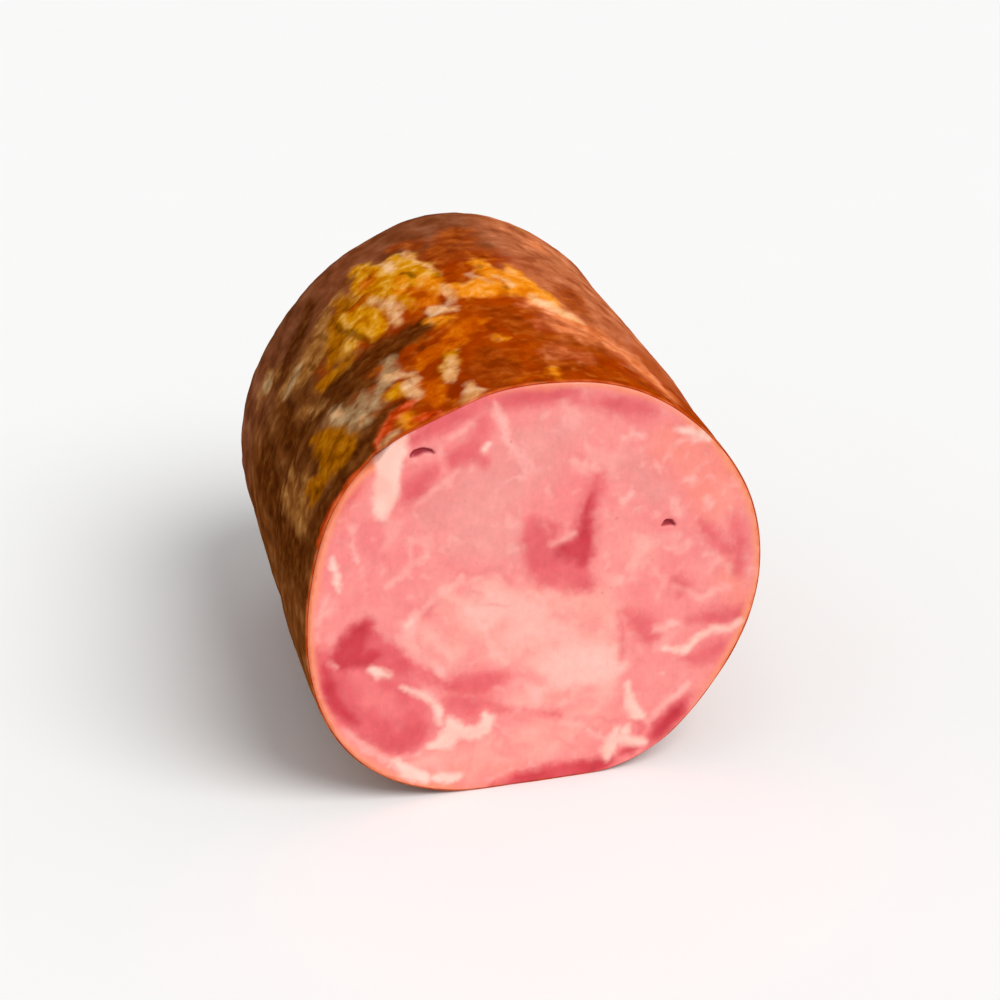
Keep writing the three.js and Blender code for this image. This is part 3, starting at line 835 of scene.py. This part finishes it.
def casing_fields(angle, along, points):
    """The fields of the casing at its vertices."""
    bend = np.stack([layered(points, 10.0, 61), layered(points, 10.0, 67)], axis=1)
    crinkle = np.stack([layered(points, 3.4, 71), layered(points, 3.4, 73)], axis=1)
    wavy = unrolled(angle, along) + 0.8 * bend + 0.55 * crinkle
    hidden = hidden_strokes()
    fields = {}
    for kind, paint in SKIN_PAINTS.items():
        seen = painted(wavy, unrolled_strokes(SKIN_STROKES[kind]), paint.fade)
        unseen = painted(wavy, unrolled_strokes(hidden.get(kind, [])), HIDDEN_FADE * paint.fade)
        fields[kind] = np.maximum(seen, HIDDEN_COVER * unseen)
    around = turn(angle - SEEN_MIDDLE)
    fields["flank"] = band(around, FLANK, bend)
    start = BACK_COMES["at"] - BACK_COMES["sooner"] * smooth(-around / BACK_COMES["turn"])
    fields["back"] = smooth((along - start + BACK_COMES["waver"] * bend[:, 0]) / BACK_COMES["over"])
    comes = smooth((along - RIGHT_COMES["at"] + RIGHT_COMES["waver"] * bend[:, 0]) / RIGHT_COMES["over"])
    fields["right"] = band(-around, RIGHT, bend) * comes
    fields["under"] = band(-around, UNDER, bend)
    return fields


def skin_relief(angle, along, points, fields):
    """What the casing's surface adds to the ham's form: fat stands out, lean sinks, and the skin wrinkles."""
    fatty = np.maximum(np.maximum(fields["gold"], fields["bright"]), fields["cream"])
    relief = FAT_RISE * smooth(fatty) - LEAN_SINK * smooth(np.maximum(fields["lean"], fields["dark"]))
    relief = relief - CRACK_SINK * smooth(fields["crack"])
    stretched = points * (1.0, 0.5, 1.0)
    wrinkles = 1 - np.abs(layered(stretched, 5.0, 83, 2))
    grain = layered(points, 3.4, 89, 2)
    return relief + WRINKLE_HEIGHT * (wrinkles - 0.75) + GRAIN_HEIGHT * grain


def casing_rows():
    """Rows of the casing from its inner far end, round the cut edge, to its outer far end."""
    rows = [(SHOULDER, sweep, SKIN_THICKNESS) for sweep in (84.0, 70.0, 50.0, 30.0, 12.0)]
    rows += [(body, 0.0, SKIN_THICKNESS) for body in np.linspace(SHOULDER, TAPER, 10)]
    rows += [(body, 0.0, skin_depth(body)) for body in (3.2, 2.4, 1.6, 0.9, 0.3)]
    rows += [(body, 0.0, share * CUT_THICKNESS) for body, share in SKIN_EDGE]
    outer_start = len(rows) - 1
    edge_end = rows[-1][0]
    body_rows = int(SHOULDER / SKIN_BODY_STEP)
    rows += [(body, 0.0, 0.0) for body in np.linspace(edge_end, SHOULDER, body_rows + 1)[1:]]
    knot_share = (KNOT["radius"] + 2 * KNOT["softness"]) / MEAN_RADIUS
    dome_end = math.degrees(math.acos(knot_share ** (DOME_POWER / 2)))
    rows += [(SHOULDER, sweep, 0.0) for sweep in np.linspace(0, dome_end, SKIN_DOME_ROWS)[1:]]
    for share in np.linspace(knot_share, 0, 14)[1:-1]:
        rows.append((SHOULDER, math.degrees(math.acos(share ** (DOME_POWER / 2))), 0.0))
    return np.array(rows), outer_start


def cut_setback(angle):
    t = np.radians(angle)
    waver = WAVER * (np.sin(5 * t + 0.6) + 0.6 * np.sin(11 * t + 2) + 0.3 * np.sin(29 * t))
    return SETBACK + 0.5 * waver + NICK["setback"] * bell(turn(angle - NICK["angle"]) / NICK["spread"])


def make_casing():
    """The casing: a closed skin, fine outside and coarse inside, with a rounded edge at the cut."""
    rows, outer_start = casing_rows()
    angle = np.tile(FULL_TURN * np.arange(SKIN_COLUMNS) / SKIN_COLUMNS, len(rows))
    body, sweep, inset = (np.repeat(column, SKIN_COLUMNS) for column in rows.T)
    shifted = body + cut_setback(angle) * smooth(1 - body / 8) * (sweep == 0)
    outer = np.arange(len(body)) >= outer_start * SKIN_COLUMNS
    plain, along = surface(angle, shifted, sweep, inset, inset, knotted=False)
    fields = casing_fields(angle, along, plain)
    relief = skin_relief(angle, along, plain, fields) * outer * smooth(body / 2.5)
    dressed = surface(angle, shifted, sweep, inset - relief, inset, knotted=True)[0]
    points = np.where(outer[:, None], dressed, plain)

    tip = axis_end(0.0) + (0, KNOT["height"], 0)
    points = np.vstack([points, axis_end(SKIN_THICKNESS)[None], tip[None]])
    from_axis = np.hypot(points[:, 0] - tip[0], points[:, 2] - tip[2])
    near_end = smooth((points[:, 1] - CUT_Y - SHOULDER) / 10)
    both_ends = [0.0, 0.0]
    fields = {kind: np.concatenate([values, both_ends]) for kind, values in fields.items()}
    whole_angle = np.concatenate([angle, both_ends])
    folds = fold_depth(PLEATS, main_folds(whole_angle), from_axis) / PLEATS["depth"]
    folds = folds + 0.5 * fold_depth(FINE_PLEATS, fine_folds(whole_angle), from_axis) / FINE_PLEATS["depth"]
    # Painted shade: the fold field darkens the casing in the pleats' folds.
    fields["fold"] = np.clip(folds * near_end, 0, 1)
    away = 1 - near_end * smooth((26 - from_axis) / 16)
    for kind in SKIN_PAINTS:
        fields[kind] = fields[kind] * away
    fields["knot"] = near_end * smooth((12 - from_axis) / 8)
    fields["edge"] = np.concatenate([1 - smooth(body / EDGE_WIDTH), both_ends])

    faces = ring_faces(len(rows), SKIN_COLUMNS)
    count = len(rows) * SKIN_COLUMNS
    faces += fan_faces(0, SKIN_COLUMNS, count)
    faces += fan_faces(count - SKIN_COLUMNS, SKIN_COLUMNS, count + 1)
    return make_piece("ham_casing", points, faces, fields)


# Materials

def srgb(red, green, blue):
    """A colour given as 0 to 255 on screen, as Blender's linear light."""
    linear = []
    for value in (red, green, blue):
        v = value / 255
        linear.append(v / 12.92 if v <= 0.04045 else ((v + 0.055) / 1.055) ** 2.4)
    return (*linear, 1.0)


class Look:
    """A material's nodes, with a short call for each kind that the looks share."""

    def __init__(self, name):
        self.material = bpy.data.materials.new(name)
        self.material.use_nodes = True
        self.tree = self.material.node_tree
        self.tree.nodes.clear()
        self.place = self.add("ShaderNodeTexCoord").outputs["Object"]

    def add(self, kind, inputs=None, **settings):
        """A node with its settings, and with its inputs set or linked by name."""
        node = self.tree.nodes.new(kind)
        for key, value in settings.items():
            setattr(node, key, value)
        for name, value in (inputs or {}).items():
            self.feed(node.inputs[name], value)
        return node

    def feed(self, socket, value):
        if isinstance(value, bpy.types.NodeSocket):
            self.tree.links.new(value, socket)
        else:
            socket.default_value = value

    def field(self, name):
        return self.add("ShaderNodeAttribute", attribute_name=name).outputs["Fac"]

    def noise(self, size_mm, detail=3.0, roughness=0.55, distortion=0.0, stretch=(1, 1, 1), shift=0.0):
        """Noise from 0 to 1 with features about size_mm wide, drawn out along an axis by stretch."""
        inputs = {"Vector": self.place, "Location": (shift, shift, shift), "Scale": [1 / s for s in stretch]}
        place = self.add("ShaderNodeMapping", inputs).outputs["Vector"]
        inputs = {"Vector": place, "Scale": 1 / (size_mm * MM), "Detail": detail, "Roughness": roughness}
        return self.add("ShaderNodeTexNoise", {**inputs, "Distortion": distortion}).outputs["Fac"]

    def math(self, operation, a, b=0.0, c=0.0):
        node = self.add("ShaderNodeMath", operation=operation)
        for socket, value in zip(node.inputs, (a, b, c)):
            self.feed(socket, value)
        return node.outputs[0]

    def step(self, value, low, high, top=1.0):
        """0 below low, top above high, and smooth between them."""
        inputs = {"Value": value, "From Min": low, "From Max": high, "To Max": top}
        return self.add("ShaderNodeMapRange", inputs, interpolation_type="SMOOTHSTEP").outputs["Result"]

    def winding_lines(self, size_mm, width, top, shift, stretch=(1, 1, 1)):
        """Thin winding lines, where a broad noise passes its middle value."""
        value = self.noise(size_mm, 2, 0.5, 0.3, stretch, shift)
        from_middle = self.math("ABSOLUTE", self.math("SUBTRACT", value, 0.5))
        here_and_there = self.step(self.noise(size_mm, 2, shift=shift + 0.4), 0.5, 0.62)
        return self.math("MULTIPLY", self.step(from_middle, width, 0.0, top), here_and_there)

    def broken(self, name, rough, amount, low, high, top=1.0):
        """A field whose edge is broken up by noise and then sharpened."""
        shifted = self.math("MULTIPLY_ADD", self.math("SUBTRACT", rough, 0.5), amount, self.field(name))
        return self.step(shifted, low, high, top)

    def mix(self, factor, a, b, blend="MIX"):
        node = self.add("ShaderNodeMix", data_type="RGBA", blend_type=blend)
        colours = [s for s in node.inputs if s.type == "RGBA"]
        self.feed(node.inputs["Factor"], factor)
        self.feed(colours[0], a)
        self.feed(colours[1], b)
        return next(s for s in node.outputs if s.type == "RGBA")

    def tones(self, shades, rough):
        """Three shades from dark to light, spread by a noise."""
        dark, middle, light = (srgb(*shade) for shade in shades)
        lower = self.mix(self.step(rough, 0.3, 0.52), dark, middle)
        return self.mix(self.step(rough, 0.48, 0.72), lower, light)

    def paint(self, colour, kind, paint, edge, rough):
        """A paint laid over the colour. One noise breaks up its edge, and another spreads its shades."""
        cover = self.broken(kind, edge, paint.ragged, 0.2, 0.8, paint.cover)
        return self.mix(cover, colour, self.tones((paint.dark, paint.middle, paint.light), rough))

    def tint(self, colour, value, dark, light):
        """The colour, scaled from dark to light as value goes from 0.25 to 0.75."""
        inputs = {"Value": value, "From Min": 0.25, "From Max": 0.75, "To Min": dark, "To Max": light}
        scale = self.add("ShaderNodeMapRange", inputs).outputs["Result"]
        grey = self.add("ShaderNodeCombineColor", {"Red": scale, "Green": scale, "Blue": scale})
        return self.mix(1.0, colour, grey.outputs["Color"], "MULTIPLY")

    def bump(self, height, distance_mm, strength=1.0, below=None):
        inputs = {"Height": height, "Distance": distance_mm * MM, "Strength": strength}
        if below is not None:
            inputs["Normal"] = below
        return self.add("ShaderNodeBump", inputs).outputs["Normal"]

    def finish(self, colour, roughness, normal, **constants):
        """The surface itself. What is the same all over is set on the shader's own sockets."""
        inputs = {"Base Color": colour, "Roughness": roughness, "Normal": normal}
        for key, value in constants.items():
            inputs[key.replace("_", " ")] = value
        surface_light = self.add("ShaderNodeBsdfPrincipled", inputs).outputs["BSDF"]
        self.add("ShaderNodeOutputMaterial", {"Surface": surface_light})
        return self.material


def meat_look():
    """Moist cured pork: pink muscle in several shades, seams, and cream fat with soft edges."""
    look = Look("cured_pork")
    broad = look.noise(20, 2)
    cloudy = look.noise(9, 2, 0.5, shift=5.1)
    patchy = look.noise(6, 2, 0.5, 0.2, shift=0.3)
    blotchy = look.noise(2.8, 2, 0.5, 0.2, shift=1.9)
    fine = look.noise(1.1, 2, 0.5, shift=0.7)
    fibre = look.noise(1.5, 2, 0.5, 0.2, stretch=(1, 1, 2.5), shift=1.1)

    colour = look.mix(look.step(broad, 0.35, 0.65), srgb(243, 132, 130), srgb(246, 143, 138))
    colour = look.mix(look.step(patchy, 0.46, 0.74, 0.42), colour, srgb(238, 122, 124))
    colour = look.mix(look.step(patchy, 0.5, 0.28, 0.34), colour, srgb(249, 157, 148))
    for kind in ("grey", "salmon", "peach", "light"):
        colour = look.paint(colour, kind, FACE_PAINTS[kind], patchy, cloudy)
    flecks = look.step(look.noise(3.4, 1, 0.5, shift=4.7), 0.58, 0.8, 0.35)
    colour = look.mix(flecks, colour, srgb(252, 184, 174))
    colour = look.mix(look.winding_lines(16, 0.06, 0.4, 2.3), colour, srgb(252, 180, 170))
    for kind in ("muscle", "rose", "deep"):
        colour = look.paint(colour, kind, FACE_PAINTS[kind], blotchy, cloudy)
    colour = look.mix(look.winding_lines(19, 0.05, 0.3, 3.9), colour, srgb(226, 104, 110))
    colour = look.tint(colour, blotchy, 0.96, 1.03)
    colour = look.tint(colour, fibre, 0.97, 1.03)
    colour = look.tint(colour, fine, 0.97, 1.03)
    colour = look.mix(look.broken("rim", patchy, 0.7, 0.15, 0.9, 0.85), colour, srgb(246, 146, 108))
    colour = look.mix(look.broken("rim", blotchy, 0.6, 0.75, 1.0, 0.65), colour, srgb(222, 108, 56))
    for kind in ("veil", "fat"):
        colour = look.paint(colour, kind, FACE_PAINTS[kind], blotchy, cloudy)
    colour = look.mix(look.step(look.field("speck"), 0.3, 0.8, 0.5), colour, srgb(212, 98, 100))
    # Painted shade: the slits are darker inside.
    pit = look.step(look.field("pit"), 0.15, 0.7)
    colour = look.mix(pit, colour, srgb(178, 44, 58))

    roughness = look.math("MULTIPLY_ADD", look.step(patchy, 0.3, 0.7), 0.14, 0.36)
    pores = look.step(look.noise(1.6, 2, 0.5, shift=3.1), 0.6, 0.72)
    normal = look.bump(fibre, 0.1, 0.5)
    normal = look.bump(fine, 0.1, 0.6, normal)
    normal = look.bump(pores, -0.1, 0.5, normal)
    return look.finish(
        colour,
        roughness,
        normal,
        Subsurface_Weight=0.12,
        Subsurface_Radius=(1.0, 0.35, 0.25),
        Subsurface_Scale=0.002,
        Specular_IOR_Level=0.3,
        Coat_Weight=0.08,
        Coat_Roughness=0.2,
    )


def casing_look():
    """Smoked skin over meat: brown lean and amber fat show through a thin matt film. Sheen, highlights and
    the shade in the pleats' folds are painted into its colour.
    """
    look = Look("smoked_casing")
    broad = look.noise(15, 3, shift=0.2)
    patchy = look.noise(6, 3, 0.5, 0.2, shift=0.8)
    edges = look.noise(4.6, 2, 0.5, 0.3, shift=1.7)
    blotchy = look.noise(3.6, 2.5, 0.5, 0.3, shift=3.3)
    fine = look.noise(1.2, 1.5, 0.5, shift=2.9)
    streaks = look.noise(3.8, 1.2, 0.5, 0.1, stretch=(1, 3, 1), shift=4.1)

    colour = look.mix(look.step(broad, 0.35, 0.65), srgb(154, 46, 0), srgb(176, 66, 0))
    colour = look.mix(look.step(patchy, 0.5, 0.7, 0.6), colour, srgb(138, 40, 0))
    colour = look.mix(look.step(patchy, 0.44, 0.28, 0.6), colour, srgb(208, 100, 14))
    flecks = look.step(look.noise(4.0, 1, 0.5, shift=5.3), 0.56, 0.8, 0.4)
    colour = look.mix(flecks, colour, srgb(222, 124, 40))
    soot = look.step(look.noise(4.4, 1, 0.5, shift=6.1), 0.54, 0.8, 0.5)
    colour = look.mix(soot, colour, srgb(90, 36, 0))
    flank = look.tones([(94, 46, 14), (122, 66, 26), (148, 92, 48)], patchy)
    flank = look.tint(flank, streaks, 0.84, 1.16)
    colour = look.mix(look.field("flank"), colour, flank)
    back = look.tones([(106, 54, 28), (130, 72, 42), (154, 94, 64)], patchy)
    colour = look.mix(look.math("MULTIPLY", look.field("back"), 0.9), colour, back)
    under = look.tones([(112, 50, 16), (146, 74, 32), (176, 102, 54)], patchy)
    under = look.tint(under, streaks, 0.9, 1.1)
    colour = look.mix(look.math("MULTIPLY", look.field("under"), 0.8), colour, under)
    # Painted sheen, in part: the right side is lighter salmon-brown.
    right = look.tones([(158, 78, 44), (194, 108, 66), (222, 134, 92)], patchy)
    colour = look.mix(look.math("MULTIPLY", look.field("right"), 0.9), colour, right)
    colour = look.tint(colour, streaks, 0.96, 1.04)
    # Of these paints, salmon is partly painted sheen, grey is painted highlight, and cream is partly painted
    # highlight over fat.
    for kind, paint in SKIN_PAINTS.items():
        colour = look.paint(colour, kind, paint, edges, blotchy)
    colour = look.tint(colour, blotchy, 0.93, 1.06)
    colour = look.tint(colour, fine, 0.96, 1.04)
    pores = look.step(look.noise(1.5, 1, 0.5, shift=7.3), 0.62, 0.78, 0.2)
    colour = look.mix(pores, colour, srgb(96, 40, 4))
    # Painted shade in the pleats' folds.
    colour = look.mix(look.math("MULTIPLY", look.field("fold"), 0.6), colour, srgb(76, 34, 12))
    colour = look.mix(look.math("MULTIPLY", look.field("knot"), 0.6), colour, srgb(150, 90, 44))
    glow = look.mix(look.step(patchy, 0.4, 0.6), srgb(196, 70, 12), srgb(230, 108, 54))
    colour = look.mix(look.broken("edge", edges, 1.0, 0.3, 1.0, 0.7), colour, glow)

    roughness = look.math("MULTIPLY_ADD", look.step(blotchy, 0.3, 0.7), 0.16, 0.32)
    normal = look.bump(patchy, 0.5, 0.5)
    normal = look.bump(blotchy, 0.25, 0.5, normal)
    normal = look.bump(fine, 0.1, 0.5, normal)
    return look.finish(colour, roughness, normal, Specular_IOR_Level=0.0)


def floor_look():
    look = Look("pale_floor")
    colour = look.mix(look.noise(60, 2), srgb(248, 248, 247), srgb(250, 250, 250))
    normal = look.bump(look.noise(1.5, 2), 0.02, 0.2)
    return look.finish(colour, 0.8, normal, Specular_IOR_Level=0.1)


# The stage

def make_floor():
    bpy.ops.mesh.primitive_plane_add(size=FLOOR_WIDTH)
    floor = bpy.context.object
    floor.name = "floor"
    floor.data.materials.append(floor_look())


def towards(azimuth, elevation):
    """The direction from the ham to a place round it. Azimuth 0 is in front of the cut, 90 to its right."""
    a, e = math.radians(azimuth), math.radians(elevation)
    return Vector((math.sin(a) * math.cos(e), -math.cos(a) * math.cos(e), math.sin(e)))


def aim(thing, azimuth, elevation, distance, target):
    direction = towards(azimuth, elevation)
    thing.location = (Vector(target) + direction * distance) * MM
    thing.rotation_euler = direction.to_track_quat("Z", "Y").to_euler()


def make_camera():
    camera = bpy.data.objects.new("camera", bpy.data.cameras.new("camera"))
    camera.data.lens = LENS
    camera.data.sensor_width = SENSOR
    camera.data.clip_end = FARTHEST_SEEN
    bpy.context.scene.collection.objects.link(camera)
    aim(camera, CAMERA_AZIMUTH, CAMERA_ELEVATION, CAMERA_DISTANCE, CAMERA_AIM)
    bpy.context.scene.camera = camera


def make_lights():
    """A white surround, and a broad soft key light from high on the right."""
    world = bpy.data.worlds.new("studio")
    world.use_nodes = True
    background = world.node_tree.nodes["Background"]
    background.inputs["Color"].default_value = (1, 1, 1, 1)
    background.inputs["Strength"].default_value = SURROUND
    bpy.context.scene.world = world
    light = bpy.data.lights.new("key", "SUN")
    light.energy = KEY["strength"]
    light.angle = math.radians(KEY["spread"])
    key = bpy.data.objects.new("key", light)
    bpy.context.scene.collection.objects.link(key)
    aim(key, KEY["azimuth"], KEY["elevation"], 1000, CAMERA_AIM)


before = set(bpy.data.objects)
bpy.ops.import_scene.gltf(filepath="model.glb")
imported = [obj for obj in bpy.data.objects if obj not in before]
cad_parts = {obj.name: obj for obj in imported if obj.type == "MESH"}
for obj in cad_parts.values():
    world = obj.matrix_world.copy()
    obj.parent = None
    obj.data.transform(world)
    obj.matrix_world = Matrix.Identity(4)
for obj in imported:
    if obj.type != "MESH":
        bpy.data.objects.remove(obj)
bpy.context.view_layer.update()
CUT_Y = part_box("meat")[0].y / MM

meat = make_meat()
meat.data.materials.append(meat_look())
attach(meat, "root")
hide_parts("meat")

casing = make_casing()
casing.data.materials.append(casing_look())
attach(casing, "root")
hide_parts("casing")

make_floor()
make_camera()
make_lights()
bpy.context.scene.view_settings.view_transform = "Standard"
